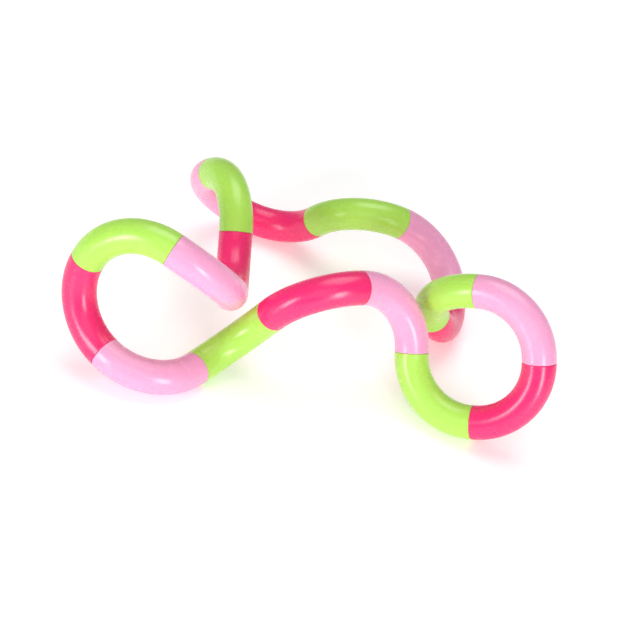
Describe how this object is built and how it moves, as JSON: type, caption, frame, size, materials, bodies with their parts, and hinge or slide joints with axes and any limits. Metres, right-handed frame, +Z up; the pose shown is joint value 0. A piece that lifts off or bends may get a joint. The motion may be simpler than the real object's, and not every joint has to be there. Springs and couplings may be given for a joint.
{
  "type": "twisting loop puzzle",
  "caption": "Closed loop of quarter-bend plastic tubes, each swivelling on the next, that twists into many shapes.",
  "frame": {"origin": "middle of the bounding box's underside, on the floor the loop rests on", "axes": "+Z up; +X along the loop's longest side, from segment 1 towards segment 5; -Y towards the viewer's side, where segments 1 to 7 are"},
  "size_m": [0.1496, 0.0988, 0.0523],
  "materials": {
    "pale_pink": "glossy moulded plastic",
    "lime_green": "glossy moulded plastic",
    "hot_pink": "glossy moulded plastic"
  },
  "bodies": {
    "segment_01": {"segment_01_left_half": "pale_pink", "segment_01_right_half": "pale_pink"},
    "segment_02": {"segment_02_left_half": "lime_green", "segment_02_right_half": "lime_green"},
    "segment_03": {"segment_03_left_half": "hot_pink", "segment_03_right_half": "hot_pink"},
    "segment_04": {"segment_04_left_half": "pale_pink", "segment_04_right_half": "pale_pink"},
    "segment_05": {"segment_05_left_half": "lime_green", "segment_05_right_half": "lime_green"},
    "segment_06": {"segment_06_left_half": "hot_pink", "segment_06_right_half": "hot_pink"},
    "segment_07": {"segment_07_left_half": "pale_pink", "segment_07_right_half": "pale_pink"},
    "segment_08": {"segment_08_left_half": "lime_green", "segment_08_right_half": "lime_green"},
    "segment_09": {"segment_09_left_half": "hot_pink", "segment_09_right_half": "hot_pink"},
    "segment_10": {"segment_10_left_half": "pale_pink", "segment_10_right_half": "pale_pink"},
    "segment_11": {"segment_11_left_half": "lime_green", "segment_11_right_half": "lime_green"},
    "segment_12": {"segment_12_left_half": "hot_pink", "segment_12_right_half": "hot_pink"},
    "segment_13": {"segment_13_left_half": "pale_pink", "segment_13_right_half": "pale_pink"},
    "segment_14": {"segment_14_left_half": "lime_green", "segment_14_right_half": "lime_green"},
    "segment_15": {"segment_15_left_half": "hot_pink", "segment_15_right_half": "hot_pink"},
    "segment_16": {"segment_16_left_half": "pale_pink", "segment_16_right_half": "pale_pink"},
    "segment_17": {"segment_17_left_half": "lime_green", "segment_17_right_half": "lime_green"},
    "segment_18": {"segment_18_left_half": "hot_pink", "segment_18_right_half": "hot_pink"}
  },
  "joints": [
    {"name": "pivot_18", "type": "hinge", "parent": "segment_01", "child": "segment_18", "pos_m": [-0.05889, -0.04006, 0.00911], "axis": [0.7751, -0.588, -0.2312], "range_deg": [0, 265]},
    {"name": "pivot_17", "type": "hinge", "parent": "segment_18", "child": "segment_17", "pos_m": [-0.06819, -0.0276, 0.03274], "axis": [-0.3098, -0.0347, -0.9502], "range_deg": [-230, 0]},
    {"name": "pivot_16", "type": "hinge", "parent": "segment_17", "child": "segment_16", "pos_m": [-0.04391, -0.0333, 0.04608], "axis": [-0.9042, 0.3197, 0.2832], "range_deg": [-240, 0]},
    {"name": "pivot_15", "type": "hinge", "parent": "segment_16", "child": "segment_15", "pos_m": [-0.02471, -0.02478, 0.02714], "axis": [-0.0557, -0.7457, 0.664], "range_deg": [0, 80]},
    {"name": "pivot_14", "type": "hinge", "parent": "segment_15", "child": "segment_14", "pos_m": [-0.02538, 0.00345, 0.02867], "axis": [0.089, -0.6661, -0.7406], "continuous": true},
    {"name": "pivot_13", "type": "hinge", "parent": "segment_14", "child": "segment_13", "pos_m": [-0.03484, 0.03004, 0.03063], "axis": [0.3842, -0.663, 0.6425], "range_deg": [-75, 205]},
    {"name": "pivot_12", "type": "hinge", "parent": "segment_13", "child": "segment_12", "pos_m": [-0.02502, 0.04409, 0.00814], "axis": [-0.8752, -0.0398, 0.4822], "range_deg": [-265, 0]},
    {"name": "pivot_11", "type": "hinge", "parent": "segment_12", "child": "segment_11", "pos_m": [0.00155, 0.03655, 0.01426], "axis": [-0.4531, 0.4169, -0.788], "continuous": true},
    {"name": "pivot_01", "type": "hinge", "parent": "segment_01", "child": "segment_02", "pos_m": [-0.03115, -0.03602, 0.00535], "axis": [0.612, 0.7897, 0.043], "range_deg": [0, 150]},
    {"name": "pivot_02", "type": "hinge", "parent": "segment_02", "child": "segment_03", "pos_m": [-0.0113, -0.02705, 0.0234], "axis": [0.3801, -0.3413, 0.8597], "range_deg": [-150, 0]},
    {"name": "pivot_03", "type": "hinge", "parent": "segment_03", "child": "segment_04", "pos_m": [0.0134, -0.02421, 0.03687], "axis": [0.8552, 0.4837, -0.1861], "range_deg": [-155, 0]},
    {"name": "pivot_04", "type": "hinge", "parent": "segment_04", "child": "segment_05", "pos_m": [0.03317, -0.02558, 0.01669], "axis": [0.1333, -0.5522, -0.823], "range_deg": [0, 45]},
    {"name": "pivot_05", "type": "hinge", "parent": "segment_05", "child": "segment_06", "pos_m": [0.05414, -0.04162, 0.00655], "axis": [0.9153, -0.2498, 0.3158], "range_deg": [-235, 0]},
    {"name": "pivot_06", "type": "hinge", "parent": "segment_06", "child": "segment_07", "pos_m": [0.06914, -0.03699, 0.03008], "axis": [-0.1657, 0.4812, 0.8608], "range_deg": [-205, 0]},
    {"name": "pivot_07", "type": "hinge", "parent": "segment_07", "child": "segment_08", "pos_m": [0.04837, -0.02066, 0.04019], "axis": [-0.8725, 0.3353, -0.3554], "range_deg": [0, 6]},
    {"name": "pivot_08", "type": "hinge", "parent": "segment_08", "child": "segment_09", "pos_m": [0.04021, -0.00711, 0.01674], "axis": [0.4642, 0.3421, -0.817], "range_deg": [0, 130]},
    {"name": "pivot_09", "type": "hinge", "parent": "segment_09", "child": "segment_10", "pos_m": [0.04788, 0.01843, 0.00731], "axis": [-0.0807, 0.9349, 0.3456], "continuous": true}
  ]
}
